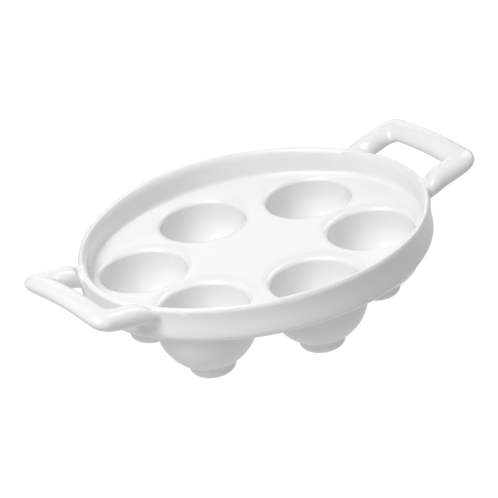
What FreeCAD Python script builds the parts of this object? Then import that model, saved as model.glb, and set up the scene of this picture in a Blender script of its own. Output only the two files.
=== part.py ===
import FreeCAD, Part
import math
import os
from FreeCAD import Vector

os.makedirs("parts", exist_ok=True)

# Oval porcelain tray with six round egg wells, millimetres, +Z up.
# Origin: centre of the oval, on the plane the six feet stand on. Handles lie along X.

# ---------------------------------------------------------------- settable sizes
WELL_RADIUS = 23.0         # inside of one egg well
WELL_LEAD = 9.2            # straight upper part of a well, measured from the deck top
MOUTH_ROUND = 2.2          # rounding of the well mouth
CUP_WALL = 3.6             # wall of the cup under a well
END_CUP_GAP = 1.6          # between the two cups at one end
COLUMN_GAP = 0.7           # between an end column of cups and the middle column, along X
MIDDLE_SHIFT = 22.3        # how much further out the middle wells sit than the end wells

DECK_THICKNESS = 5.6       # floor plate between the wells
WALL_THICKNESS = 4.2       # wall of the tray
FLOOR_ROUND = 3.0          # hollow corner between the floor and the wall
WALL_FOOT_ROUND = 4.0      # outside lower corner of the wall
RIM_HEIGHT = 15.0          # top of the rim above the deck, half-way between the handles
RIM_DIP = 1.9              # how much lower the rim is at the handles
RIM_FLAT = 0.2             # narrow flat left between the two rounded edges of the rim
END_MARGIN = 10.9          # flat floor past an end well's mouth, along X
SIDE_MARGIN = 5.1          # flat floor past a middle well's mouth, along Y
END_ARC_SHARE = 0.7924     # radius of the oval's end arcs, as a share of half the body's width

FOOT_RADIUS = 12.2         # nub under each cup
FOOT_DROP = 3.3            # foot bottom below the lowest point of the cup
FOOT_ROUND = 4.3           # rounding of the foot's lower edge

BAR_REACH = 18.4           # middle of the handle bar past the end of the wall
BAR_RISE = 15.7            # ends of the bar above the deck top
BAR_ARCH = 2.3             # extra rise of the bar in the middle
BAR_HALF_WIDTH = 6.9       # half the bar's section, across the bar
BAR_HALF_THICKNESS = 4.6   # half the bar's section, up and down
LEG_SPREAD = 30.2          # distance of each handle leg from the long axis
LEG_SLOPE = 12.6           # rise of the handle towards the bar, degrees
LEG_HALF_HEIGHT = 5.4      # half the leg's section where it runs into the corner, up and down
ROOT_HALF_WIDTH = 6.9      # half width of a leg where it reaches the wall
ROOT_LOW = 4.4             # underside of a leg at the wall, from the deck top
ROOT_TUCK = 0.8            # how far the leg's end sits below the top of the rim
CORNER_GAP_ROUND = 4.5     # hollow corner inside the handle, between leg and bar
CORNER_OUTER_ROUND = 8.0   # outside corner of the handle

# ---------------------------------------------------------------- derived sizes
MOUTH_RADIUS = WELL_RADIUS + MOUTH_ROUND
CUP_RADIUS = WELL_RADIUS + CUP_WALL
END_WELL_X = 2.0 * CUP_RADIUS + COLUMN_GAP
END_WELL_Y = CUP_RADIUS + 0.5 * END_CUP_GAP
SIDE_WELL_Y = END_WELL_Y + MIDDLE_SHIFT
DECK_TOP = FOOT_DROP + CUP_RADIUS + WELL_LEAD
DECK_UNDER = DECK_TOP - DECK_THICKNESS
RIM_TOP = DECK_TOP + RIM_HEIGHT
RIM_ROUND = 0.5 * (WALL_THICKNESS - RIM_FLAT)
END_RIM = RIM_HEIGHT - RIM_DIP
BOWL_CENTRE_Z = DECK_TOP - WELL_LEAD
PLATE_INSET = WALL_THICKNESS + FLOOR_ROUND
HALF_LENGTH = END_WELL_X + MOUTH_RADIUS + END_MARGIN + PLATE_INSET
HALF_WIDTH = SIDE_WELL_Y + MOUTH_RADIUS + SIDE_MARGIN + PLATE_INSET
END_ARC_RADIUS = END_ARC_SHARE * HALF_WIDTH
SIDE_ARC_OFFSET = HALF_LENGTH - END_ARC_RADIUS
SIDE_ARC_RADIUS = ((SIDE_ARC_OFFSET ** 2 + HALF_WIDTH ** 2 - END_ARC_RADIUS ** 2)
                   / (2.0 * (HALF_WIDTH - END_ARC_RADIUS)))
SIDE_ARC_CENTRE = SIDE_ARC_RADIUS - HALF_WIDTH
ARC_SPLIT = math.atan2(SIDE_ARC_CENTRE, SIDE_ARC_OFFSET)
CROWN_RADIUS = (HALF_LENGTH ** 2 + RIM_DIP ** 2) / (2.0 * RIM_DIP)
BAR_CENTRE_X = HALF_LENGTH + BAR_REACH
PIVOT_X = BAR_CENTRE_X - BAR_HALF_WIDTH - CORNER_GAP_ROUND
PIVOT_Y = LEG_SPREAD - BAR_HALF_WIDTH - CORNER_GAP_ROUND
ROOT_FACING = math.asin(LEG_SPREAD / END_ARC_RADIUS)
ROOT_X = SIDE_ARC_OFFSET + END_ARC_RADIUS * math.cos(ROOT_FACING)
LEG_RUN = PIVOT_X - ROOT_X

WELL_CENTRES = [
    ("back_left", -END_WELL_X, END_WELL_Y),
    ("back_middle", 0.0, SIDE_WELL_Y),
    ("back_right", END_WELL_X, END_WELL_Y),
    ("front_left", -END_WELL_X, -END_WELL_Y),
    ("front_middle", 0.0, -SIDE_WELL_Y),
    ("front_right", END_WELL_X, -END_WELL_Y),
]

# ---------------------------------------------------------------- how the handle is sampled
# Leg flare between the wall and the corner: share of the leg's run, share of the rise of its
# underside, share of the rise of its top, and how far the section still faces the wall.
LEG_FLARE = [
    (0.07, 0.00, 0.21, 0.8),
    (0.26, 0.20, 0.58, 0.4),
    (0.53, 0.52, 0.85, 0.1),
    (0.82, 0.86, 0.97, 0.0),
]
SECTION_POINTS = 16        # points round one section of the handle
CORNER_STEPS = 4           # sections that turn each corner
BAR_SHARES = (0.6, 0.2)    # where the bar's own sections lie, as shares of its half length
EDGE_TOLERANCE = 1.0e-4
SPARE = 20.0               # how far cutters run past what they cut


def polar(centre_x, centre_y, radius, angle):
    return Vector(centre_x + radius * math.cos(angle), centre_y + radius * math.sin(angle), 0.0)


def oval_arcs():
    """The four arcs of the oval: centre x, centre y, outside radius, first and last angle."""
    arcs = []
    arcs.append((SIDE_ARC_OFFSET, 0.0, END_ARC_RADIUS, -ARC_SPLIT, ARC_SPLIT))
    arcs.append((0.0, -SIDE_ARC_CENTRE, SIDE_ARC_RADIUS, ARC_SPLIT, math.pi - ARC_SPLIT))
    arcs.append((-SIDE_ARC_OFFSET, 0.0, END_ARC_RADIUS, math.pi - ARC_SPLIT, math.pi + ARC_SPLIT))
    arcs.append((0.0, SIDE_ARC_CENTRE, SIDE_ARC_RADIUS, math.pi + ARC_SPLIT, 2.0 * math.pi - ARC_SPLIT))
    return arcs


def oval_prism(inset, bottom, top):
    """Upright solid whose outline lies a fixed distance inside the outside of the wall."""
    edges = []
    for centre_x, centre_y, radius, first, last in oval_arcs():
        start = polar(centre_x, centre_y, radius - inset, first)
        middle = polar(centre_x, centre_y, radius - inset, 0.5 * (first + last))
        end = polar(centre_x, centre_y, radius - inset, last)
        edges.append(Part.Arc(start, middle, end).toShape())
    face = Part.Face(Part.Wire(edges))
    face.translate(Vector(0.0, 0.0, bottom))
    return face.extrude(Vector(0.0, 0.0, top - bottom))


def arc_edge(first, middle, last):
    return Part.Arc(Vector(first[0], 0.0, first[1]), Vector(middle[0], 0.0, middle[1]),
                    Vector(last[0], 0.0, last[1])).toShape()


def line_edge(first, last):
    return Part.makeLine(Vector(first[0], 0.0, first[1]), Vector(last[0], 0.0, last[1]))


def on_circle(centre, radius, degrees):
    angle = math.radians(degrees)
    return (centre[0] + radius * math.cos(angle), centre[1] + radius * math.sin(angle))


def spin(edges):
    """Full turn of a closed outline in the XZ plane about the Z axis."""
    face = Part.Face(Part.Wire(edges))
    return face.revolve(Vector(0.0, 0.0, 0.0), Vector(0.0, 0.0, 1.0), 360.0)


def wall_outline(radius):
    """Section of the wall, for an arc whose outside radius is given; the top is cut later."""
    inner = radius - WALL_THICKNESS
    plate = radius - PLATE_INSET
    high = RIM_TOP + SPARE
    foot_centre = (radius - WALL_FOOT_ROUND, DECK_UNDER + WALL_FOOT_ROUND)
    floor_centre = (plate, DECK_TOP + FLOOR_ROUND)
    edges = []
    edges.append(line_edge((plate, DECK_UNDER), (foot_centre[0], DECK_UNDER)))
    edges.append(arc_edge((foot_centre[0], DECK_UNDER), on_circle(foot_centre, WALL_FOOT_ROUND, -45.0),
                          (radius, foot_centre[1])))
    edges.append(line_edge((radius, foot_centre[1]), (radius, high)))
    edges.append(line_edge((radius, high), (inner, high)))
    edges.append(line_edge((inner, high), (inner, floor_centre[1])))
    edges.append(arc_edge((inner, floor_centre[1]), on_circle(floor_centre, FLOOR_ROUND, -45.0),
                          (plate, DECK_TOP)))
    edges.append(line_edge((plate, DECK_TOP), (plate, DECK_UNDER)))
    return edges


def crown_cutter():
    """Everything above the gently arched top of the rim."""
    long_side = 2.0 * (HALF_LENGTH + SPARE)
    short_side = 2.0 * (HALF_WIDTH + SPARE)
    block = Part.makeBox(long_side, short_side, RIM_HEIGHT + 2.0 * SPARE,
                         Vector(-0.5 * long_side, -0.5 * short_side, DECK_TOP))
    drum = Part.makeCylinder(CROWN_RADIUS, short_side + 2.0 * SPARE,
                             Vector(0.0, -0.5 * short_side - SPARE, RIM_TOP - CROWN_RADIUS),
                             Vector(0.0, 1.0, 0.0))
    return block.cut(drum)


def crown_height(x):
    return RIM_TOP - CROWN_RADIUS + math.sqrt(CROWN_RADIUS ** 2 - x ** 2)


def wall():
    """The ring of four turned pieces, arched on top and rounded along both edges of the rim."""
    pieces = []
    for centre_x, centre_y, radius, first, last in oval_arcs():
        face = Part.Face(Part.Wire(wall_outline(radius)))
        face.rotate(Vector(0.0, 0.0, 0.0), Vector(0.0, 0.0, 1.0), math.degrees(first))
        face.translate(Vector(centre_x, centre_y, 0.0))
        pieces.append(face.revolve(Vector(centre_x, centre_y, 0.0), Vector(0.0, 0.0, 1.0),
                                   math.degrees(last - first)))
    ring = pieces[0].multiFuse(pieces[1:]).removeSplitter()
    ring = ring.cut(crown_cutter())
    edges = []
    for edge in ring.Edges:
        middle = edge.valueAt(0.5 * (edge.FirstParameter + edge.LastParameter))
        on_top = abs(middle.z - crown_height(middle.x)) < EDGE_TOLERANCE
        if on_top and edge.Length > 2.0 * WALL_THICKNESS:
            edges.append(edge)
    return ring.makeFillet(RIM_ROUND, edges)


def mouth_cutter():
    """Turned cutter for one well mouth, rounded where it meets the deck top."""
    low = DECK_UNDER - SPARE
    high = DECK_TOP + SPARE
    wide = WELL_RADIUS + MOUTH_ROUND
    centre = (wide, DECK_TOP - MOUTH_ROUND)
    edges = []
    edges.append(line_edge((0.0, low), (WELL_RADIUS, low)))
    edges.append(line_edge((WELL_RADIUS, low), (WELL_RADIUS, centre[1])))
    edges.append(arc_edge((WELL_RADIUS, centre[1]), on_circle(centre, MOUTH_ROUND, 135.0), (wide, DECK_TOP)))
    edges.append(line_edge((wide, DECK_TOP), (wide, high)))
    edges.append(line_edge((wide, high), (0.0, high)))
    edges.append(line_edge((0.0, high), (0.0, low)))
    return spin(edges)


def deck():
    plate = oval_prism(PLATE_INSET, DECK_UNDER, DECK_TOP)
    for name, x, y in WELL_CENTRES:
        cutter = mouth_cutter()
        cutter.translate(Vector(x, y, 0.0))
        plate = plate.cut(cutter)
    return plate


def cup():
    """Round-bottomed cup that hangs under the deck."""
    centre = (0.0, BOWL_CENTRE_Z)
    inner_low = (0.0, BOWL_CENTRE_Z - WELL_RADIUS)
    outer_low = (0.0, BOWL_CENTRE_Z - CUP_RADIUS)
    edges = []
    edges.append(line_edge((WELL_RADIUS, DECK_UNDER), (CUP_RADIUS, DECK_UNDER)))
    edges.append(line_edge((CUP_RADIUS, DECK_UNDER), (CUP_RADIUS, BOWL_CENTRE_Z)))
    edges.append(arc_edge((CUP_RADIUS, BOWL_CENTRE_Z), on_circle(centre, CUP_RADIUS, -45.0), outer_low))
    edges.append(line_edge(outer_low, inner_low))
    edges.append(arc_edge(inner_low, on_circle(centre, WELL_RADIUS, -45.0), (WELL_RADIUS, BOWL_CENTRE_Z)))
    edges.append(line_edge((WELL_RADIUS, BOWL_CENTRE_Z), (WELL_RADIUS, DECK_UNDER)))
    return spin(edges)


def foot():
    """Short nub whose hollow top fits the underside of the cup."""
    centre = (0.0, BOWL_CENTRE_Z)
    top_angle = math.degrees(math.acos(FOOT_RADIUS / CUP_RADIUS))
    top = on_circle(centre, CUP_RADIUS, -top_angle)
    cup_low = (0.0, BOWL_CENTRE_Z - CUP_RADIUS)
    flat = FOOT_RADIUS - FOOT_ROUND
    edges = []
    edges.append(line_edge((0.0, 0.0), (flat, 0.0)))
    edges.append(arc_edge((flat, 0.0), on_circle((flat, FOOT_ROUND), FOOT_ROUND, -45.0),
                          (FOOT_RADIUS, FOOT_ROUND)))
    edges.append(line_edge((FOOT_RADIUS, FOOT_ROUND), top))
    edges.append(arc_edge(top, on_circle(centre, CUP_RADIUS, -0.5 * (top_angle + 90.0)), cup_low))
    edges.append(line_edge(cup_low, (0.0, 0.0)))
    return spin(edges)


def handle_plane(x):
    """Height of the handle's middle surface above the feet, before the bar's arch is added."""
    return DECK_TOP + BAR_RISE + (x - BAR_CENTRE_X) * math.tan(math.radians(LEG_SLOPE))


def ring_section(centre, across, tilt, half_width, half_height):
    """Points round an oval in an upright plane; across is the level direction in that plane."""
    lean = math.radians(tilt)
    wide = Vector(across.x * math.cos(lean), across.y * math.cos(lean), math.sin(lean))
    high = Vector(-across.x * math.sin(lean), -across.y * math.sin(lean), math.cos(lean))
    points = []
    for index in range(SECTION_POINTS):
        angle = 2.0 * math.pi * index / SECTION_POINTS
        points.append(centre + wide * (half_width * math.cos(angle)) + high * (half_height * math.sin(angle)))
    return points


def mirrored(points):
    """The same section on the -Y side."""
    other = []
    for point in points:
        other.append(Vector(point.x, -point.y, point.z))
    return other


def closed_curve(points):
    """Smooth closed curve through one section; every section shares the same parameters."""
    curve = Part.BSplineCurve()
    parameters = []
    for index in range(len(points) + 1):
        parameters.append(index / float(len(points)))
    curve.interpolate(Points=points, PeriodicFlag=True, Parameters=parameters)
    return curve


def spacing(sections):
    """Where each section lies along the whole run, from 0 to 1, by the distance between centres."""
    centres = []
    for points in sections:
        total = Vector(0.0, 0.0, 0.0)
        for point in points:
            total = total + point
        centres.append(total * (1.0 / len(points)))
    run = [0.0]
    for before, after in zip(centres, centres[1:]):
        run.append(run[-1] + (after - before).Length)
    shares = []
    for length in run:
        shares.append(length / run[-1])
    return shares


def skinned(sections):
    """Solid whose side is one smooth surface through all the sections, closed by two flat ends."""
    rings = []
    for points in sections:
        rings.append(closed_curve(points))
    shares = spacing(sections)
    rows = []
    for index in range(rings[0].NbPoles):
        poles = []
        for ring in rings:
            poles.append(ring.getPole(index + 1))
        row = Part.BSplineCurve()
        row.interpolate(Points=poles, PeriodicFlag=False, Parameters=shares)
        rows.append(row)
    grid = []
    for row in rows:
        grid.append(row.getPoles())
    surface = Part.BSplineSurface()
    surface.buildFromPolesMultsKnots(grid, rings[0].getMultiplicities(), rows[0].getMultiplicities(),
                                     rings[0].getKnots(), rows[0].getKnots(), True, False,
                                     rings[0].Degree, rows[0].Degree)
    faces = [surface.toShape()]
    for end in (0.0, 1.0):
        faces.append(Part.Face(Part.Wire([surface.vIso(end).toShape()])))
    return Part.Solid(Part.Shell(faces))


def leg_stations():
    """From the middle of the wall outwards: distance past the wall, underside and top of the
    section above the deck top, and how far it still faces the wall (1) or the bar (0)."""
    end_low = handle_plane(PIVOT_X) - DECK_TOP - LEG_HALF_HEIGHT
    end_top = handle_plane(PIVOT_X) - DECK_TOP + LEG_HALF_HEIGHT
    low_range = end_low - ROOT_LOW
    top_range = end_top - END_RIM
    stations = [(-0.5 * WALL_THICKNESS, ROOT_LOW, END_RIM - ROOT_TUCK, 1.0)]
    for share, low_share, top_share, turn in LEG_FLARE:
        stations.append((share * LEG_RUN, ROOT_LOW + low_share * low_range,
                         END_RIM + top_share * top_range, turn))
    return stations


def leg_sections():
    """Sections of the leg on the +X +Y side."""
    sections = []
    for out, low, high, turn in leg_stations():
        angle = ROOT_FACING * turn
        share = max(0.0, out) / LEG_RUN
        width = ROOT_HALF_WIDTH + (BAR_HALF_WIDTH - ROOT_HALF_WIDTH) * share
        centre = Vector(ROOT_X + out * math.cos(angle), LEG_SPREAD + out * math.sin(angle) * turn,
                        DECK_TOP + 0.5 * (low + high))
        across = Vector(-math.sin(angle), math.cos(angle), 0.0)
        sections.append(ring_section(centre, across, 0.0, width, 0.5 * (high - low)))
    return sections


def corner_reach(far, sine, cosine):
    """Distance from the inner corner's centre to the outside of the handle, in one direction."""
    inner = far - CORNER_OUTER_ROUND
    straight = far / max(sine, cosine)
    if min(sine, cosine) * far <= max(sine, cosine) * inner:
        return straight
    along = inner * (sine + cosine)
    aside = 2.0 * inner ** 2 - along ** 2
    return along + math.sqrt(CORNER_OUTER_ROUND ** 2 - aside)


def corner_sections():
    """Sections that fan round the inner corner between the leg and the bar."""
    far = 2.0 * BAR_HALF_WIDTH + CORNER_GAP_ROUND
    sections = []
    for step in range(CORNER_STEPS + 1):
        angle = 0.5 * math.pi * step / CORNER_STEPS
        across = Vector(math.sin(angle), math.cos(angle), 0.0)
        outer = corner_reach(far, across.x, across.y)
        middle = 0.5 * (outer + CORNER_GAP_ROUND)
        centre_x = PIVOT_X + middle * across.x
        centre_y = PIVOT_Y + middle * across.y
        centre = Vector(centre_x, centre_y, handle_plane(centre_x) + bar_arch(centre_y) * across.x)
        half_height = BAR_HALF_THICKNESS + (LEG_HALF_HEIGHT - BAR_HALF_THICKNESS) * across.y ** 2
        sections.append(ring_section(centre, across, LEG_SLOPE * across.x, 0.5 * (outer - CORNER_GAP_ROUND),
                                     half_height))
    return sections


def bar_arch(y):
    return BAR_ARCH * (1.0 - (y / LEG_SPREAD) ** 2)


def bar_sections():
    """Sections of the bar between the corners."""
    sections = []
    for share in BAR_SHARES:
        y = PIVOT_Y * share
        centre = Vector(BAR_CENTRE_X, y, handle_plane(BAR_CENTRE_X) + bar_arch(y))
        sections.append(ring_section(centre, Vector(1.0, 0.0, 0.0), LEG_SLOPE, BAR_HALF_WIDTH,
                                     BAR_HALF_THICKNESS))
    return sections


def handle_right(ring):
    """Handle at the +X end, cut so that its roots sit on the outside of the wall."""
    half = leg_sections() + corner_sections() + bar_sections()
    other = []
    for points in reversed(half):
        other.append(mirrored(points))
    return skinned(half + other).cut(ring)


def turned_round(shape):
    """Copy of a shape moved to the opposite end of the tray."""
    copy = shape.copy()
    copy.rotate(Vector(0.0, 0.0, 0.0), Vector(0.0, 0.0, 1.0), 180.0)
    return copy


def largest_solid(shape):
    return max(shape.Solids, key=lambda solid: solid.Volume)


def save(shape, name):
    solid = largest_solid(shape)
    solid.exportStep("parts/" + name + ".step")


def build():
    ring = wall()
    save(ring, "wall_ring")
    save(deck(), "deck")
    for name, x, y in WELL_CENTRES:
        one_cup = cup()
        one_cup.translate(Vector(x, y, 0.0))
        save(one_cup, "cup_" + name)
        one_foot = foot()
        one_foot.translate(Vector(x, y, 0.0))
        save(one_foot, "foot_" + name)
    handle = handle_right(ring)
    save(handle, "handle_right")
    save(turned_round(handle), "handle_left")


build()
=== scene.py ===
import math

import bpy
import numpy as np
from bpy.props import FloatProperty, FloatVectorProperty, PointerProperty
from mathutils import Matrix, Vector


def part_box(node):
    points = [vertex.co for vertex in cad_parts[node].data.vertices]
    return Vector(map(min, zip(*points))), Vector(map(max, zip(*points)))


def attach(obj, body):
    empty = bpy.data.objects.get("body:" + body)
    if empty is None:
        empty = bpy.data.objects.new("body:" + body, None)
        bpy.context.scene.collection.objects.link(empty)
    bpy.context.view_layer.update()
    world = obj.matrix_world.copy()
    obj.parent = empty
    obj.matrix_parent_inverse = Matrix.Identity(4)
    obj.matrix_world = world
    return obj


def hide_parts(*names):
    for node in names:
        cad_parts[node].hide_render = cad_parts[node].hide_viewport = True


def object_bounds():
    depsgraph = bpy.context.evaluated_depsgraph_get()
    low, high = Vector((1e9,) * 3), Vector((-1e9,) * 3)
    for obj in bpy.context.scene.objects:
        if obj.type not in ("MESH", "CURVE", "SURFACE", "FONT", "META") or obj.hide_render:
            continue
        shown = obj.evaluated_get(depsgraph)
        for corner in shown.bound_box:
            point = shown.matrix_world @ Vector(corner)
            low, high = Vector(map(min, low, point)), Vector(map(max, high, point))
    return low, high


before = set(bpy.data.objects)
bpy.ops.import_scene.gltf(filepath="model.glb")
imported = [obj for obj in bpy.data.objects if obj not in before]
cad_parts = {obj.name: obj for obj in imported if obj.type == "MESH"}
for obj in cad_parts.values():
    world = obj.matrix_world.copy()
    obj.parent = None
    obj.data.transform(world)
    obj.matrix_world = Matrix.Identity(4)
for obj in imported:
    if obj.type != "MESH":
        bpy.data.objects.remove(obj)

bl_info = {
    "name": "Egg Tray Maker",
    "version": (1, 0, 0),
    "blender": (4, 5, 0),
    "location": "3D View > Sidebar > Egg Tray",
    "description": "Makes the glazed porcelain skin of an oval egg tray round its construction model",
    "category": "Add Mesh",
}

# Places and sizes that the construction model fixes, in metres.
RING_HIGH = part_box("wall_ring")[1]
DECK_LOW, DECK_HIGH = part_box("deck")
CUP_LOW, CUP_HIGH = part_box("cup_back_right")
SIDE_LOW, SIDE_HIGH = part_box("cup_back_middle")
FOOT_LOW, FOOT_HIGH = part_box("foot_back_right")
HANDLE_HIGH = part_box("handle_right")[1]
HALF_LENGTH = RING_HIGH.x
HALF_WIDTH = RING_HIGH.y
RIM_TOP = RING_HIGH.z
DECK_TOP = DECK_HIGH.z
DECK_UNDER = DECK_LOW.z
CUP_RADIUS = 0.5 * (CUP_HIGH.x - CUP_LOW.x)
BOWL_CENTRE_Z = CUP_LOW.z + CUP_RADIUS
END_WELL = (0.5 * (CUP_LOW.x + CUP_HIGH.x), 0.5 * (CUP_LOW.y + CUP_HIGH.y))
SIDE_WELL = (0.5 * (SIDE_LOW.x + SIDE_HIGH.x), 0.5 * (SIDE_LOW.y + SIDE_HIGH.y))
FOOT_RADIUS = 0.5 * (FOOT_HIGH.x - FOOT_LOW.x)
BAR_TOP = HANDLE_HIGH.z
BAR_OUTSIDE = HANDLE_HIGH.x
CAD_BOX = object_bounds()


def length(name, default, description):
    return FloatProperty(name=name, default=default, description=description, unit="LENGTH",
                         subtype="DISTANCE", precision=5, min=0.0)


# ------------------------------------------------------------------ sizes and colours to change
class EGGTRAY_PG_dish(bpy.types.PropertyGroup):
    wall: length("Wall", 0.0042, "Thickness of the upright wall")
    cup_wall: length("Cup wall", 0.0036, "Thickness of the cups under the wells")
    rim_dip: length("Rim dip", 0.0019, "How much lower the rim is at the handles")
    floor_round: length("Floor corner", 0.0025, "Hollow corner between the floor and the wall")
    outer_round: length("Lower edge", 0.0040, "Rounding of the wall's lower edge")
    mouth_round: length("Well mouth", 0.0022, "Rounding of the mouth of each well")
    mouth_dip: length("Mouth dip", 0.0008, "How far the floor dips towards a well")
    mouth_reach: length("Dip reach", 0.0030, "How far from a well the floor starts to dip")
    crest_inset: length("Crest inset", 0.0018, "Distance of the rim's crest from the outside of the wall")
    inner_shoulder: length("Inner shoulder", 0.0045, "Height over which the rim rounds off inwards")
    outer_shoulder: length("Outer shoulder", 0.0036, "Height over which the rim rounds off outwards")
    wall_lean: length("Wall lean", 0.0008, "How much thicker the wall is at the floor than at the rim")
    cup_blend: length("Cup root", 0.0045, "Hollow corner where the cups leave the underside")
    foot_round: length("Foot edge", 0.0043, "Rounding of the lower edge of each foot")
    foot_blend: length("Foot root", 0.0012, "Hollow corner where a foot leaves its cup")
    end_arc: FloatProperty(name="End arc", default=0.7924, min=0.3, max=0.99, subtype="FACTOR",
                           description="Radius of the oval's end arcs, as a share of half its width")
    wall_waist: length("Wall waist", 0.0005, "How far the outside of the wall draws in at mid height")
    hand_wave: length("Hand wave", 0.00012, "Unevenness left by casting and hand finishing")


class EGGTRAY_PG_handle(bpy.types.PropertyGroup):
    half_width: length("Half width", 0.0069, "Half the bar's section, across the bar")
    half_depth: length("Half depth", 0.0046, "Half the bar's section, up and down")
    leg_half_depth: length("Leg half depth", 0.0054, "Half the leg's section where it meets the corner")
    root_rise: length("Root rise", 0.0044, "Underside of a leg at the wall, above the floor of the tray")
    root_half_width: length("Root half width", 0.0069, "Half width of a leg at the wall")
    spread: length("Leg spread", 0.0302, "Distance of each leg from the long axis")
    arch: length("Bar arch", 0.0023, "Extra rise of the bar in the middle")
    slope: FloatProperty(name="Slope", default=math.radians(12.6), subtype="ANGLE", unit="ROTATION",
                         description="Rise of the handle towards its bar")
    inner_corner: length("Inner corner", 0.0045, "Hollow corner between leg and bar")
    outer_corner: length("Outer corner", 0.0080, "Rounded outside corner of the handle")
    root_blend: length("Root blend", 0.0026, "Clay smoothed round the root of each leg")


class EGGTRAY_PG_glaze(bpy.types.PropertyGroup):
    colour: FloatVectorProperty(name="Glaze", default=(0.862, 0.862, 0.862), size=3, min=0.0, max=1.0,
                                subtype="COLOR", description="Colour of the fired white glaze")
    # Grey painted as shade into hollow corners; the random tone drift also moves towards it.
    hollow_shade: FloatVectorProperty(name="Hollow shade", default=(0.81, 0.81, 0.81), size=3, min=0.0, max=1.0,
                                subtype="COLOR", description="Colour where the glaze has run together")
    clay: FloatVectorProperty(name="Bare clay", default=(0.78, 0.765, 0.735), size=3, min=0.0, max=1.0,
                              subtype="COLOR", description="Colour of the unglazed foot faces")
    gloss: FloatProperty(name="Roughness", default=0.07, min=0.02, max=0.6, subtype="FACTOR",
                         description="Roughness of the glaze where it is smoothest")


class EGGTRAY_PG_stage(bpy.types.PropertyGroup):
    key: FloatProperty(name="Key light", default=10.9, min=0.0, unit="POWER",
                       description="Power of the high softbox at the front left")
    front: FloatProperty(name="Front light", default=4.6, min=0.0, unit="POWER",
                         description="Power of the lower softbox at the front left")
    fill: FloatProperty(name="Fill light", default=5.0, min=0.0, unit="POWER",
                        description="Power of the softbox at the back right")
    side: FloatProperty(name="Side light", default=1.35, min=0.0, unit="POWER",
                        description="Power of the softbox in front")
    low: FloatProperty(name="Low light", default=1.76, min=0.0, unit="POWER",
                       description="Power of the low softbox behind")
    room: FloatProperty(name="Room light", default=0.158, min=0.0, subtype="FACTOR",
                        description="Brightness of the pale room all round")
    floor_bounce: FloatProperty(name="Floor bounce", default=0.62, min=0.0, subtype="FACTOR",
                                description="Light that the floor sheet gives to the tray")
    floor_white: FloatProperty(name="Floor white", default=0.985, min=0.0, subtype="FACTOR",
                               description="How bright the floor sheet looks to the camera")


# ------------------------------------------------------------------ the tray as a form
CUP_SINK = 0.0002           # how far a cup reaches up into the floor plate, in metres
FOOT_SINK = 0.002           # how far a foot reaches up past the middle of its cup's wall
HANDLE_REACH = 0.012        # how near to a handle its form is worked out
HANDLE_BLOCK = 20000        # points compared with the handle's sections at one time
SLOPE_STEP = 2.0e-5         # distance over which the form's slope is taken


def round_union(a, b, r):
    """Both forms together, with a hollow corner of radius r where they meet."""
    return np.maximum(r, np.minimum(a, b)) - np.hypot(np.maximum(r - a, 0.0), np.maximum(r - b, 0.0))


def round_common(a, b, r):
    """What both forms share, with its edge rounded to radius r."""
    return np.minimum(-r, np.maximum(a, b)) + np.hypot(np.maximum(r + a, 0.0), np.maximum(r + b, 0.0))


def oval_distance(across, along, half_across, half_along):
    """Distance to an oval given by its two half sizes."""
    u, v = across / half_across, along / half_along
    ratio = np.hypot(u, v)
    slope = np.maximum(np.hypot(u / half_across, v / half_along), 1.0)
    return ratio * (ratio - 1.0) / slope


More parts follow.
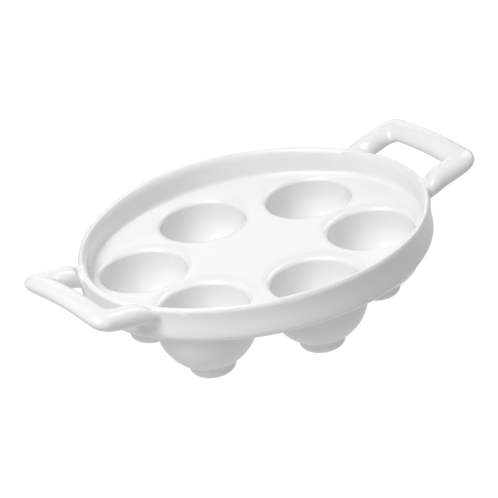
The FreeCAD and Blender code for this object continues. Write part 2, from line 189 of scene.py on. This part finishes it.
class DishForm:
    """Signed distance to the whole tray: negative inside the porcelain, in metres."""

    def __init__(self, dish, handle):
        self.dish = dish
        self.handle = handle
        self.end_radius = dish.end_arc * HALF_WIDTH
        self.end_centre = HALF_LENGTH - self.end_radius
        side = self.end_centre ** 2 + HALF_WIDTH ** 2 - self.end_radius ** 2
        self.side_radius = side / (2.0 * (HALF_WIDTH - self.end_radius))
        self.side_centre = self.side_radius - HALF_WIDTH
        self.crown_radius = (HALF_LENGTH ** 2 + dish.rim_dip ** 2) / (2.0 * dish.rim_dip)
        self.well_radius = CUP_RADIUS - dish.cup_wall
        self.stations = handle_stations(self)

    def oval(self, x, y):
        """Distance to the outside of the wall in plan, for points folded into one quarter."""
        at_end = y * self.end_centre < (x - self.end_centre) * self.side_centre
        end = np.hypot(x - self.end_centre, y) - self.end_radius
        side = np.hypot(x, y + self.side_centre) - self.side_radius
        return np.where(at_end, end, side)

    def crown(self, x):
        """Height of the rim, which arches along the tray."""
        return RIM_TOP - self.crown_radius + np.sqrt(self.crown_radius ** 2 - x ** 2)

    def wall_and_floor(self, x, y, z):
        """Floor plate and wall in one, hollow above the floor."""
        d = self.dish
        s = self.oval(x, y)
        mid = np.clip((z - DECK_UNDER - d.outer_round) / (RIM_TOP - DECK_UNDER - d.outer_round), 0.0, 1.0)
        waist = d.wall_waist * np.sin(math.pi * mid) ** 2
        across = s + waist + d.outer_round
        down = DECK_UNDER + d.outer_round - z
        outer = np.hypot(np.maximum(across, 0.0), np.maximum(down, 0.0))
        outer = outer + np.minimum(np.maximum(across, down), 0.0) - d.outer_round
        crest = self.crown(x)
        depth = np.clip((crest - z) / (RIM_TOP - DECK_TOP), 0.0, 1.0)
        lean = d.wall_lean * (1.0 - (1.0 - depth) ** 2)
        edge = s + d.crest_inset
        wide = np.where(edge > 0.0, d.crest_inset, d.wall - d.crest_inset + lean)
        tall = np.where(edge > 0.0, d.outer_shoulder, d.inner_shoulder)
        band = oval_distance(edge, np.maximum(z - crest + tall, 0.0), wide, tall)
        floor = z - DECK_TOP + self.sag(x, y)
        return np.maximum(outer, round_union(band, floor, d.floor_round))

    def sag(self, x, y):
        """How far the floor dips where it runs into the nearest well."""
        gap = np.hypot(x - SIDE_WELL[0], y - SIDE_WELL[1])
        for side in (1.0, -1.0):
            gap = np.minimum(gap, np.hypot(x - END_WELL[0], y - side * END_WELL[1]))
        gap = np.maximum(gap - self.well_radius, 0.0)
        return self.dish.mouth_dip * np.exp(-(gap / self.dish.mouth_reach) ** 2)

    def bowl(self, x, y, z, centre, radius):
        """Upright tube with a half ball as its lower end."""
        across = np.hypot(x - centre[0], y - centre[1])
        below = np.minimum(z - BOWL_CENTRE_Z, 0.0)
        return np.hypot(across, below) - radius

    def foot(self, x, y, z, centre):
        """Round stub with a rounded lower edge."""
        r = self.dish.foot_round
        across = np.hypot(x - centre[0], y - centre[1]) - (FOOT_RADIUS - r)
        down = r - z
        side = np.hypot(np.maximum(across, 0.0), np.maximum(down, 0.0))
        side = side + np.minimum(np.maximum(across, down), 0.0) - r
        return np.maximum(side, z - (BOWL_CENTRE_Z - CUP_RADIUS + 0.5 * self.dish.cup_wall + FOOT_SINK))

    def dish_only(self, x, y, z):
        """Everything but the handles, for points folded into one quarter."""
        d = self.dish
        wells = (END_WELL, (END_WELL[0], -END_WELL[1]), SIDE_WELL)
        cups = None
        for centre in wells:
            cup = np.maximum(self.bowl(x, y, z, centre, CUP_RADIUS), z - (DECK_UNDER + CUP_SINK))
            cup = round_union(cup, self.foot(x, y, z, centre), d.foot_blend)
            cups = cup if cups is None else round_union(cups, cup, d.cup_blend)
        body = round_union(self.wall_and_floor(x, y, z), cups, d.cup_blend)
        for centre in wells:
            well = self.bowl(x, y, z, centre, self.well_radius)
            body = round_common(body, -well, d.mouth_round)
        return body

    def handle_only(self, x, y, z):
        """Distance to the nearest handle, for points folded into one quarter and close to it."""
        h = self.stations
        points = np.column_stack((x, y, z))
        out = np.empty(len(points))
        starts = (h["centre"] * h["along"]).sum(axis=1)
        square = (h["centre"] ** 2).sum(axis=1)
        for start in range(0, len(points), HANDLE_BLOCK):
            part = points[start:start + HANDLE_BLOCK]
            ahead = part @ h["along"].T - starts
            away = square - 2.0 * (part @ h["centre"].T)
            holds = (ahead[:, :-1] >= 0.0) & (ahead[:, 1:] < 0.0)
            cost = np.where(holds, away[:, :-1], np.inf)
            first = cost.argmin(axis=1)
            rows = np.arange(len(part))
            lost = ~holds[rows, first]
            first[lost] = np.where(ahead[lost, 0] < 0.0, 0, len(starts) - 2)
            before, after = ahead[rows, first], ahead[rows, first + 1]
            between = np.clip(before / np.where(before == after, 1.0, before - after), 0.0, 1.0)
            mixed = {key: row[first].T * (1.0 - between) + row[first + 1].T * between
                     for key, row in h.items()}
            local = part.T - mixed["centre"]
            tube = oval_distance((local * mixed["wide"]).sum(axis=0), (local * mixed["high"]).sum(axis=0),
                                 mixed["half_wide"], mixed["half_high"])
            out[start:start + HANDLE_BLOCK] = np.maximum(tube, -ahead[:, 0])
        return out

    def value(self, points):
        """The form at each point, before the surface is moved for unevenness."""
        x = np.abs(points[:, 0])
        y = np.abs(points[:, 1])
        z = points[:, 2]
        body = self.dish_only(x, y, z)
        near = x > self.stations["centre"][0, 0] - HANDLE_REACH
        near &= y < self.handle.spread + 2.0 * HANDLE_REACH
        near &= z > DECK_UNDER - HANDLE_REACH
        if near.any():
            arm = self.handle_only(x[near], y[near], z[near])
            body[near] = round_union(body[near], arm, self.handle.root_blend)
        return body + self.dish.hand_wave * slow_wave(points)

    def gradient(self, points):
        """Slope of the form at each point, from four values round it."""
        out = np.zeros_like(points)
        for way in ((1.0, -1.0, -1.0), (-1.0, -1.0, 1.0), (-1.0, 1.0, -1.0), (1.0, 1.0, 1.0)):
            way = np.array(way)
            out += self.value(points + SLOPE_STEP * way)[:, None] * way
        return out / (4.0 * SLOPE_STEP)


def slow_wave(points):
    """A smooth value between about -1 and 1 that drifts over a few centimetres."""
    x, y, z = points[:, 0], points[:, 1], points[:, 2]
    first = np.sin(71.0 * x + 43.0 * y + 1.3) * np.sin(61.0 * y - 37.0 * z + 0.4)
    second = np.sin(113.0 * x - 89.0 * y + 97.0 * z + 2.1)
    return 0.6 * first + 0.4 * second


SECTIONS = 120              # closely spaced sections along one half of a handle
CORNER_STEPS = 8            # steps round the corner between leg and bar
BAR_SHARES = (0.75, 0.5, 0.25, 0.0, -0.25)
# Share of the way along a leg, shares of the way that its underside and its top have come from wall to
# corner, and how much it still points square out of the wall (1) and not along the tray (0).
LEG_FLARE = ((0.07, 0.0, 0.21, 0.8), (0.26, 0.20, 0.58, 0.4), (0.53, 0.52, 0.85, 0.1),
             (0.82, 0.86, 0.97, 0.0))
LEG_START = (0.0, -0.13, 1.0)           # the last three of these, in the middle of the wall's thickness


def section(centre, across, lean, half_wide, half_high):
    """One oval section: centre, directions of its width and height, and half sizes."""
    wide = Vector((across[0] * math.cos(lean), across[1] * math.cos(lean), math.sin(lean)))
    high = Vector((-across[0] * math.sin(lean), -across[1] * math.sin(lean), math.cos(lean)))
    return (*centre, *wide, *high, half_wide, half_high)


class HandleLine:
    """The line that one half of a handle follows, from inside the wall to the middle of the bar."""

    def __init__(self, form):
        h = form.handle
        self.handle = h
        self.bar_x = BAR_OUTSIDE - h.half_width * math.cos(h.slope)
        thick = math.hypot(h.half_depth * math.cos(h.slope), h.half_width * math.sin(h.slope))
        self.bar_z = BAR_TOP - h.arch - thick
        self.pivot_x = self.bar_x - h.half_width - h.inner_corner
        self.pivot_y = h.spread - h.half_width - h.inner_corner
        self.facing = math.asin(h.spread / form.end_radius)
        self.root_x = form.end_centre + form.end_radius * math.cos(self.facing)
        self.wall = form.dish.wall
        self.end_rim = RIM_TOP - form.dish.rim_dip

    def plane(self, x):
        """Height of the sloping plane that the legs' ends and the bar lie in."""
        return self.bar_z + (x - self.bar_x) * math.tan(self.handle.slope)

    def lift(self, y):
        """Extra height of the arched bar."""
        return self.handle.arch * (1.0 - (y / self.handle.spread) ** 2)

    def leg(self):
        """Sections from inside the wall to where the corner begins."""
        h = self.handle
        run = self.pivot_x - self.root_x
        root_low = DECK_TOP + h.root_rise
        low_end = self.plane(self.pivot_x) - h.leg_half_depth
        top_end = self.plane(self.pivot_x) + h.leg_half_depth
        rows = []
        for share, low_share, top_share, turn in ((-0.5 * self.wall / run, *LEG_START), *LEG_FLARE):
            angle = self.facing * turn
            out = share * run
            low = root_low + low_share * (low_end - root_low)
            top = self.end_rim + top_share * (top_end - self.end_rim)
            width = h.root_half_width + (h.half_width - h.root_half_width) * max(share, 0.0)
            centre = (self.root_x + out * math.cos(angle), h.spread + out * math.sin(angle) * turn,
                      0.5 * (low + top))
            rows.append(section(centre, (-math.sin(angle), math.cos(angle)), 0.0, width, 0.5 * (top - low)))
        return rows

    def corner(self):
        """Sections round the corner, thicker where its outside stands out."""
        h = self.handle
        far = 2.0 * h.half_width + h.inner_corner
        inner = far - h.outer_corner
        rows = []
        for step in range(CORNER_STEPS + 1):
            angle = 0.5 * math.pi * step / CORNER_STEPS
            sine, cosine = math.sin(angle), math.cos(angle)
            outer = far / max(sine, cosine)
            if min(sine, cosine) * far > max(sine, cosine) * inner:
                along = inner * (sine + cosine)
                outer = along + math.sqrt(h.outer_corner ** 2 - 2.0 * inner ** 2 + along ** 2)
            middle = 0.5 * (outer + h.inner_corner)
            x = self.pivot_x + middle * sine
            y = self.pivot_y + middle * cosine
            half_high = h.half_depth + (h.leg_half_depth - h.half_depth) * cosine ** 2
            half_wide = 0.5 * (outer - h.inner_corner)
            centre = (x, y, self.plane(x) + self.lift(y) * sine)
            rows.append(section(centre, (sine, cosine), h.slope * sine, half_wide, half_high))
        return rows

    def bar(self):
        """Sections along the bar, to a little past its middle."""
        h = self.handle
        rows = []
        for share in BAR_SHARES:
            y = self.pivot_y * share
            centre = (self.bar_x, y, self.plane(self.bar_x) + self.lift(y))
            rows.append(section(centre, (1.0, 0.0), h.slope, h.half_width, h.half_depth))
        return rows


def handle_stations(form):
    """Closely spaced sections of one half of a handle, with all their directions square to each other."""
    line = HandleLine(form)
    coarse = np.array(line.leg() + line.corner() + line.bar())
    gaps = np.linalg.norm(np.diff(coarse[:, :3], axis=0), axis=1)
    run_length = np.concatenate(([0.0], np.cumsum(gaps)))
    fine = smooth_through(run_length, coarse, np.linspace(0.0, run_length[-1], SECTIONS))
    wide = fine[:, 3:6] / np.linalg.norm(fine[:, 3:6], axis=1)[:, None]
    high = fine[:, 6:9] - (fine[:, 6:9] * wide).sum(axis=1)[:, None] * wide
    high /= np.linalg.norm(high, axis=1)[:, None]
    along = np.cross(high, wide)
    along *= np.sign((along * np.gradient(fine[:, :3], axis=0)).sum(axis=1))[:, None]
    return {"centre": fine[:, :3], "wide": wide, "high": high, "along": along,
            "half_wide": fine[:, 9], "half_high": fine[:, 10]}


def smooth_through(at, values, wanted):
    """Values of a smooth curve through the rows, with slopes taken from the neighbours."""
    slopes = np.gradient(values, at, axis=0)
    index = np.clip(np.searchsorted(at, wanted, side="right") - 1, 0, len(at) - 2)
    span = (at[index + 1] - at[index])[:, None]
    t = (wanted[:, None] - at[index][:, None]) / span
    a, b = values[index], values[index + 1]
    m, n = slopes[index] * span, slopes[index + 1] * span
    return ((2 * t ** 3 - 3 * t ** 2 + 1) * a + (t ** 3 - 2 * t ** 2 + t) * m
            + (-2 * t ** 3 + 3 * t ** 2) * b + (t ** 3 - t ** 2) * n)


# ------------------------------------------------------------------ turning the form into a mesh
COARSE = 4                  # cells along one side of a coarse block
BLOCK = 300000              # points worked out at one time
CELL = 0.0008               # side of one cell
MOST_TRIANGLES = 190000     # triangles kept after thinning the flat places
MARGIN_CELLS = 3.0          # empty cells kept round the form
SLIDE = 0.6                 # share of the way to its neighbours' middle that a point slides
LEAST_SLOPE = 0.05          # keeps a step short where the form hardly changes


def in_blocks(form, low, step, index):
    """Form values at the grid points with these indices."""
    values = np.empty(len(index))
    for start in range(0, len(index), BLOCK):
        part = index[start:start + BLOCK]
        values[start:start + BLOCK] = form.value(low + step * part.astype(float))
    return values


def field_grid(form, low, step, counts):
    """Form values on a fine grid; far from the surface a coarse value stands in for its block."""
    coarse_counts = counts // COARSE + 2
    index = np.argwhere(np.ones(coarse_counts, bool)) * COARSE
    coarse = in_blocks(form, low, step, index).reshape(coarse_counts)
    nearest = [np.round(np.arange(count) / COARSE).astype(int) for count in counts]
    values = coarse[np.ix_(*nearest)]
    reach = step * (0.5 * COARSE * math.sqrt(3.0) + 1.5)
    close = np.argwhere(np.abs(values) < reach)
    values[close[:, 0], close[:, 1], close[:, 2]] = in_blocks(form, low, step, close)
    return values


def cell_net(form, low, high, step):
    """Vertices and quads of a closed net round the form, one vertex in each cell it passes through."""
    counts = np.ceil((high - low) / step).astype(int) + 1
    values = field_grid(form, low, step, counts)
    solid = values < 0.0
    cells = counts - 1
    total = np.zeros(cells, np.int8)
    corners = [(i, j, k) for i in (0, 1) for j in (0, 1) for k in (0, 1)]
    for i, j, k in corners:
        total += solid[i:i + cells[0], j:j + cells[1], k:k + cells[2]]
    mixed = np.argwhere((total > 0) & (total < 8))
    number = np.full(cells, -1, np.int64)
    number[mixed[:, 0], mixed[:, 1], mixed[:, 2]] = np.arange(len(mixed))
    found = np.zeros((len(mixed), 3))
    hits = np.zeros(len(mixed))
    for i, j, k in corners:
        for axis in range(3):
            if (i, j, k)[axis] == 1:
                continue
            first = mixed + (i, j, k)
            last = first.copy()
            last[:, axis] += 1
            a = values[first[:, 0], first[:, 1], first[:, 2]]
            b = values[last[:, 0], last[:, 1], last[:, 2]]
            crossed = (a < 0.0) != (b < 0.0)
            t = np.where(crossed, a / np.where(crossed, a - b, 1.0), 0.0)
            place = first.astype(float)
            place[:, axis] += t
            found += place * crossed[:, None]
            hits += crossed
    points = low + step * found / hits[:, None]
    quads = []
    for axis in range(3):
        one, two = (axis + 1) % 3, (axis + 2) % 3
        below = np.take(solid, np.arange(counts[axis] - 1), axis=axis)
        above = np.take(solid, np.arange(1, counts[axis]), axis=axis)
        at = np.argwhere(below != above)
        inside = (at[:, one] > 0) & (at[:, two] > 0)
        inside &= (at[:, one] < cells[one]) & (at[:, two] < cells[two])
        at = at[inside]
        ring = []
        for back_one, back_two in ((0, 0), (1, 0), (1, 1), (0, 1)):
            cell = at.copy()
            cell[:, one] -= back_one
            cell[:, two] -= back_two
            ring.append(number[cell[:, 0], cell[:, 1], cell[:, 2]])
        quad = np.column_stack(ring)
        turn = ~below[at[:, 0], at[:, 1], at[:, 2]]
        quad[turn] = quad[turn][:, ::-1]
        quads.append(quad)
    return points, np.concatenate(quads)


def settle(form, points, limit, rounds):
    """Moves the points onto the form's surface."""
    for _ in range(rounds):
        value = form.value(points)
        slope = form.gradient(points)
        size = np.maximum((slope ** 2).sum(axis=1), LEAST_SLOPE)
        move = -(value / size)[:, None] * slope
        far = np.linalg.norm(move, axis=1)
        move *= np.minimum(1.0, limit / np.maximum(far, 1.0e-12))[:, None]
        points = points + move
    return points


def even_out(form, points, quads, rounds):
    """Slides the points along the surface until the quads are more even."""
    edges = np.concatenate([quads[:, [i, (i + 1) % 4]] for i in range(4)])
    for _ in range(rounds):
        total = np.zeros_like(points)
        count = np.zeros(len(points))
        for a, b in ((0, 1), (1, 0)):
            for axis in range(3):
                total[:, axis] += np.bincount(edges[:, a], points[edges[:, b], axis], len(points))
            count += np.bincount(edges[:, a], minlength=len(points))
        slope = form.gradient(points)
        slope /= np.linalg.norm(slope, axis=1)[:, None]
        move = total / count[:, None] - points
        move -= (move * slope).sum(axis=1)[:, None] * slope
        points = points + SLIDE * move
        points = points - form.value(points)[:, None] * slope
    return points


def thinned(name, points, quads, ratio):
    """The same net with fewer triangles in its flat places."""
    net = mesh_of(name + "_net", points, quads)
    holder = bpy.data.objects.new(name + "_net", net)
    bpy.context.scene.collection.objects.link(holder)
    thin = holder.modifiers.new("thin", "DECIMATE")
    thin.ratio = ratio
    bpy.context.view_layer.update()
    lighter = holder.evaluated_get(bpy.context.evaluated_depsgraph_get()).to_mesh()
    lighter.calc_loop_triangles()
    found = np.empty(3 * len(lighter.vertices), np.float32)
    lighter.vertices.foreach_get("co", found)
    corners = np.empty(3 * len(lighter.loop_triangles), np.int32)
    lighter.loop_triangles.foreach_get("vertices", corners)
    bpy.data.objects.remove(holder)
    bpy.data.meshes.remove(net)
    return found.reshape(-1, 3).astype(float), corners.reshape(-1, 3)


def mesh_of(name, points, faces):
    """A smooth-shaded mesh whose faces all have the same number of sides."""
    mesh = bpy.data.meshes.new(name)
    sides = faces.shape[1]
    mesh.vertices.add(len(points))
    mesh.vertices.foreach_set("co", points.astype(np.float32).ravel())
    mesh.loops.add(faces.size)
    mesh.loops.foreach_set("vertex_index", faces.astype(np.int32).ravel())
    mesh.polygons.add(len(faces))
    mesh.polygons.foreach_set("loop_start", np.arange(0, faces.size, sides, dtype=np.int32))
    mesh.polygons.foreach_set("use_smooth", np.ones(len(faces), bool))
    mesh.update(calc_edges=True)
    mesh.validate()
    return mesh


def skin_object(name, form, step):
    """Meshes the form, settles it on its surface and keeps it inside the construction model's box."""
    box_low, box_high = np.array(CAD_BOX[0]), np.array(CAD_BOX[1])
    low = box_low - MARGIN_CELLS * step
    high = box_high + MARGIN_CELLS * step
    points, faces = cell_net(form, low, high, step)
    points = settle(form, points, 0.5 * step, 2)
    points = even_out(form, points, faces, 3)
    if 2 * len(faces) > MOST_TRIANGLES:
        points, faces = thinned(name, points, faces, MOST_TRIANGLES / (2.0 * len(faces)))
    points = settle(form, points, 0.2 * step, 2)
    points = np.clip(points, box_low, box_high)
    mesh = mesh_of(name, points, faces)
    slope = form.gradient(points)
    slope /= np.linalg.norm(slope, axis=1)[:, None]
    # How hollow the surface is at each point; the glaze paints shade into hollow corners from it.
    bend = hollow_measure(form, points, slope)
    mesh.attributes.new("hollow", "FLOAT", "POINT").data.foreach_set("value", bend.astype(np.float32))
    mesh.normals_split_custom_set_from_vertices(slope)
    skin = bpy.data.objects.new(name, mesh)
    bpy.context.scene.collection.objects.link(skin)
    return skin


HOLLOW_REACH = 0.0022       # distance from the surface at which a hollow corner is felt


def hollow_measure(form, points, slope):
    """0.5 on flat places, towards 1 in hollow corners and towards 0 on rounded edges."""
    outside = form.value(points + slope * HOLLOW_REACH) - HOLLOW_REACH
    return np.clip(0.5 - 0.5 * outside / HOLLOW_REACH, 0.0, 1.0)


# ------------------------------------------------------------------ glaze
class NodeBench:
    """Small helper that adds nodes from left to right and joins them."""

    def __init__(self, name):
        self.material = bpy.data.materials.new(name)
        self.material.use_nodes = True
        self.tree = self.material.node_tree
        self.tree.nodes.clear()
        self.count = 0

    def add(self, kind, **inputs):
        node = self.tree.nodes.new(kind)
        node.location = (220.0 * (self.count % 8), -260.0 * (self.count // 8))
        self.count += 1
        for key, value in inputs.items():
            name = key.replace("_", " ")
            if name in node.inputs:
                self.put(node.inputs[name], value)
            else:
                setattr(node, key, value)
        return node

    def put(self, socket, value):
        if isinstance(value, bpy.types.NodeSocket):
            self.tree.links.new(value, socket)
        else:
            socket.default_value = value

    def ramp(self, factor, low, high):
        node = self.add("ShaderNodeMapRange", interpolation_type="SMOOTHSTEP")
        self.put(node.inputs["Value"], factor)
        node.inputs["From Min"].default_value = low
        node.inputs["From Max"].default_value = high
        return node.outputs["Result"]

    def spread(self, factor, low, high):
        node = self.add("ShaderNodeMapRange")
        self.put(node.inputs["Value"], factor)
        node.inputs["To Min"].default_value = low
        node.inputs["To Max"].default_value = high
        return node.outputs["Result"]

    def mix(self, factor, first, second):
        """Mix of two colours; a Mix node's colour sockets are its seventh and eighth."""
        node = self.add("ShaderNodeMix", data_type="RGBA")
        self.put(node.inputs[0], factor)
        self.put(node.inputs[6], first)
        self.put(node.inputs[7], second)
        return node.outputs[2]

    def noise(self, place, scale, detail=2.0):
        node = self.add("ShaderNodeTexNoise")
        self.put(node.inputs["Vector"], place)
        node.inputs["Scale"].default_value = scale
        node.inputs["Detail"].default_value = detail
        return node.outputs["Fac"]


def rgba(colour):
    return (colour[0], colour[1], colour[2], 1.0)


# Noise scales, in ripples per metre or so.
TONE_SCALE = 38.0
RIPPLE_SCALE = 60.0
RAGGED_SCALE = 420.0
PEEL_SCALE = 900.0
TONE_DRIFT = 0.35           # most of the hollow-shade grey that the slow, random change of tone brings in
SHADE_FROM, SHADE_TO = 0.52, 0.78         # hollow measure where the painted shade of hollow corners starts, and where it is full
GLAZE_EDGE = (0.00045, 0.0008)          # height over which bare clay gives way to glaze, in metres
EDGE_RAGGED = 0.0006        # how unevenly it does
GLOSS_CHANGE = 0.09
CLAY_ROUGHNESS = 0.82
RIPPLE = (0.10, 0.0009)     # strength and depth of the slow unevenness
PEEL = (0.035, 0.0002)      # strength and depth of the fine unevenness
GLAZE_IOR = 1.5


def glaze_material(look):
    """White glaze, greyed towards hollow corners as painted shade, that stops short of the feet's lower
    faces.
    """
    bench = NodeBench("white_glaze")
    place = bench.add("ShaderNodeTexCoord").outputs["Object"]
    parts = bench.add("ShaderNodeSeparateXYZ")
    bench.put(parts.inputs[0], place)
    hollow = bench.add("ShaderNodeAttribute", attribute_name="hollow").outputs["Fac"]
    drift = bench.noise(place, TONE_SCALE, 3.0)
    # Painted shade: the glaze turns grey towards hollow corners.
    hollow_shade = bench.ramp(hollow, SHADE_FROM, SHADE_TO)
    tone = bench.mix(bench.spread(drift, 0.0, TONE_DRIFT), rgba(look.colour), rgba(look.hollow_shade))
    tone = bench.mix(hollow_shade, tone, rgba(look.hollow_shade))
    ragged = bench.add("ShaderNodeMath", operation="MULTIPLY_ADD")
    bench.put(ragged.inputs[0], bench.noise(place, RAGGED_SCALE, 2.0))
    ragged.inputs[1].default_value = EDGE_RAGGED
    bench.put(ragged.inputs[2], parts.outputs["Z"])
    glazed = bench.ramp(ragged.outputs[0], *GLAZE_EDGE)
    tone = bench.mix(glazed, rgba(look.clay), tone)
    fine = bench.noise(place, PEEL_SCALE, 3.0)
    slow = bench.noise(place, RIPPLE_SCALE, 2.0)
    rough = bench.spread(slow, look.gloss, look.gloss + GLOSS_CHANGE)
    matte = bench.add("ShaderNodeMix", data_type="FLOAT")
    bench.put(matte.inputs[0], glazed)
    matte.inputs[2].default_value = CLAY_ROUGHNESS
    bench.put(matte.inputs[3], rough)
    ripple = bench.add("ShaderNodeBump", Strength=RIPPLE[0], Distance=RIPPLE[1])
    bench.put(ripple.inputs["Height"], slow)
    peel = bench.add("ShaderNodeBump", Strength=PEEL[0], Distance=PEEL[1])
    bench.put(peel.inputs["Height"], fine)
    bench.put(peel.inputs["Normal"], ripple.outputs["Normal"])
    shader = bench.add("ShaderNodeBsdfPrincipled")
    bench.put(shader.inputs["Base Color"], tone)
    bench.put(shader.inputs["Roughness"], matte.outputs[0])
    bench.put(shader.inputs["Normal"], peel.outputs["Normal"])
    shader.inputs["IOR"].default_value = GLAZE_IOR
    out = bench.add("ShaderNodeOutputMaterial")
    bench.put(out.inputs["Surface"], shader.outputs["BSDF"])
    return bench.material


FLOOR_TONE = (0.05, 0.05, 0.05)
FLOOR_GRAIN = (0.045, 0.045, 0.045)
FLOOR_GRAIN_SCALE = 14.0


def floor_material(stage):
    """Pale glowing sheet: white where the camera sees it, dimmer as a light on the tray."""
    bench = NodeBench("floor_sheet")
    place = bench.add("ShaderNodeTexCoord").outputs["Object"]
    grain = bench.noise(place, FLOOR_GRAIN_SCALE, 3.0)
    sheet = bench.add("ShaderNodeBsdfDiffuse")
    bench.put(sheet.inputs["Color"], bench.mix(grain, rgba(FLOOR_TONE), rgba(FLOOR_GRAIN)))
    seen = bench.add("ShaderNodeLightPath").outputs["Is Camera Ray"]
    glow = bench.add("ShaderNodeEmission")
    bench.put(glow.inputs["Strength"], bench.spread(seen, stage.floor_bounce, stage.floor_white))
    both = bench.add("ShaderNodeAddShader")
    bench.put(both.inputs[0], sheet.outputs["BSDF"])
    bench.put(both.inputs[1], glow.outputs["Emission"])
    out = bench.add("ShaderNodeOutputMaterial")
    bench.put(out.inputs["Surface"], both.outputs["Shader"])
    return bench.material


# ------------------------------------------------------------------ operators
class EGGTRAY_OT_porcelain(bpy.types.Operator):
    """Makes the one-piece porcelain skin: dish, wells, feet and both handles"""

    bl_idname = "eggtray.porcelain"
    bl_label = "Porcelain Body"

    def execute(self, context):
        scene = context.scene
        form = DishForm(scene.eggtray_dish, scene.eggtray_handle)
        skin = skin_object("porcelain_body", form, CELL)
        skin.data.materials.append(glaze_material(scene.eggtray_glaze))
        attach(skin, "root")
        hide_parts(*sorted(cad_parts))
        return {"FINISHED"}


def aimed(location, target, roll=0.0):
    """Matrix at a place whose -Z looks at the target."""
    back = (Vector(location) - Vector(target)).normalized()
    side = Vector((0.0, 0.0, 1.0)).cross(back).normalized()
    up = back.cross(side)
    turned = Matrix((side, up, back)).transposed() @ Matrix.Rotation(roll, 3, "Z")
    return Matrix.Translation(location) @ turned.to_4x4()


# Where the camera stands: direction from the tray, distance, point looked at, roll and lens.
CAMERA_AZIMUTH = math.radians(32.44)
CAMERA_HEIGHT = math.radians(27.02)
CAMERA_ROLL = math.radians(-7.97)
CAMERA_DISTANCE = 1.7645
CAMERA_LOOK = (-0.00363, 0.00259)
CAMERA_LENS = 244.6
CAMERA_SENSOR = 36.0        # millimetres
CAMERA_CLIP = (0.05, 50.0)

SOFTBOX_SIDE = 0.8
SOFTBOX_DISTANCE = 1.3
SOFTBOX_AIM = (0.0, 0.0, 0.04)
# Each softbox: its name, its setting, turn from the camera's left towards the back, height; degrees.
SOFTBOXES = (("key_light", "key", -45.0, 65.0), ("front_light", "front", -45.0, 40.0),
             ("fill_light", "fill", 135.0, 40.0), ("side_light", "side", -90.0, 40.0),
             ("low_light", "low", 90.0, 12.0))

FLOOR_HALF = 6.0            # half the side of the floor sheet, in metres


def softbox(name, turn, height, power):
    """Square soft light; turn is measured from the camera's left towards the back."""
    left = Vector((-math.cos(CAMERA_AZIMUTH), math.sin(CAMERA_AZIMUTH), 0.0))
    behind = Vector((math.sin(CAMERA_AZIMUTH), math.cos(CAMERA_AZIMUTH), 0.0))
    way = (left * math.cos(turn) + behind * math.sin(turn)) * math.cos(height)
    way.z = math.sin(height)
    data = bpy.data.lights.new(name, "AREA")
    data.shape = "SQUARE"
    data.size = SOFTBOX_SIDE
    data.energy = power
    lamp = bpy.data.objects.new(name, data)
    lamp.matrix_world = aimed(Vector(SOFTBOX_AIM) + way * SOFTBOX_DISTANCE, SOFTBOX_AIM)
    bpy.context.scene.collection.objects.link(lamp)


class EGGTRAY_OT_stage(bpy.types.Operator):
    """Makes the camera, the pale floor and the soft lights"""

    bl_idname = "eggtray.stage"
    bl_label = "Stage"

    def execute(self, context):
        scene = context.scene
        stage = scene.eggtray_stage
        look = Vector((CAMERA_LOOK[0], CAMERA_LOOK[1], DECK_TOP))
        away = Vector((-math.sin(CAMERA_AZIMUTH) * math.cos(CAMERA_HEIGHT),
                       -math.cos(CAMERA_AZIMUTH) * math.cos(CAMERA_HEIGHT), math.sin(CAMERA_HEIGHT)))
        data = bpy.data.cameras.new("camera")
        data.lens = CAMERA_LENS
        data.sensor_width = CAMERA_SENSOR
        data.clip_start, data.clip_end = CAMERA_CLIP
        camera = bpy.data.objects.new("camera", data)
        camera.matrix_world = aimed(look + away * CAMERA_DISTANCE, look, CAMERA_ROLL)
        scene.collection.objects.link(camera)
        scene.camera = camera
        floor_mesh = bpy.data.meshes.new("floor")
        corners = [(x * FLOOR_HALF, y * FLOOR_HALF, 0.0) for x, y in ((-1, -1), (1, -1), (1, 1), (-1, 1))]
        floor_mesh.from_pydata(corners, [], [(0, 1, 2, 3)])
        floor = bpy.data.objects.new("floor", floor_mesh)
        floor.data.materials.append(floor_material(stage))
        scene.collection.objects.link(floor)
        for name, setting, turn, height in SOFTBOXES:
            softbox(name, math.radians(turn), math.radians(height), getattr(stage, setting))
        world = bpy.data.worlds.new("room")
        world.use_nodes = True
        air = world.node_tree.nodes["Background"]
        air.inputs["Color"].default_value = (1.0, 1.0, 1.0, 1.0)
        air.inputs["Strength"].default_value = stage.room
        scene.world = world
        scene.view_settings.view_transform = "Standard"
        return {"FINISHED"}


class EGGTRAY_PT_panel(bpy.types.Panel):
    """Sidebar panel with the tray's sizes, colours and steps"""

    bl_label = "Egg Tray"
    bl_idname = "EGGTRAY_PT_panel"
    bl_space_type = "VIEW_3D"
    bl_region_type = "UI"
    bl_category = "Egg Tray"

    def draw(self, context):
        for title, group in GROUPS:
            box = self.layout.box()
            box.label(text=title)
            settings = getattr(context.scene, group)
            for name in settings.__annotations__:
                box.prop(settings, name)
        for operator in STEPS:
            self.layout.operator(operator.bl_idname)


STEPS = (EGGTRAY_OT_stage, EGGTRAY_OT_porcelain)
GROUPS = (("Dish", "eggtray_dish"), ("Handles", "eggtray_handle"), ("Glaze", "eggtray_glaze"),
          ("Stage", "eggtray_stage"))
GROUP_CLASSES = (EGGTRAY_PG_dish, EGGTRAY_PG_handle, EGGTRAY_PG_glaze, EGGTRAY_PG_stage)
CLASSES = (*GROUP_CLASSES, *STEPS, EGGTRAY_PT_panel)


def register():
    for cls in CLASSES:
        bpy.utils.register_class(cls)
    for (_, name), cls in zip(GROUPS, GROUP_CLASSES):
        setattr(bpy.types.Scene, name, PointerProperty(type=cls))


def unregister():
    for _, name in GROUPS:
        delattr(bpy.types.Scene, name)
    for cls in reversed(CLASSES):
        bpy.utils.unregister_class(cls)


def main():
    """Makes the stage and the tray."""
    register()
    bpy.ops.eggtray.stage()
    bpy.ops.eggtray.porcelain()


if __name__ == "__main__":
    main()
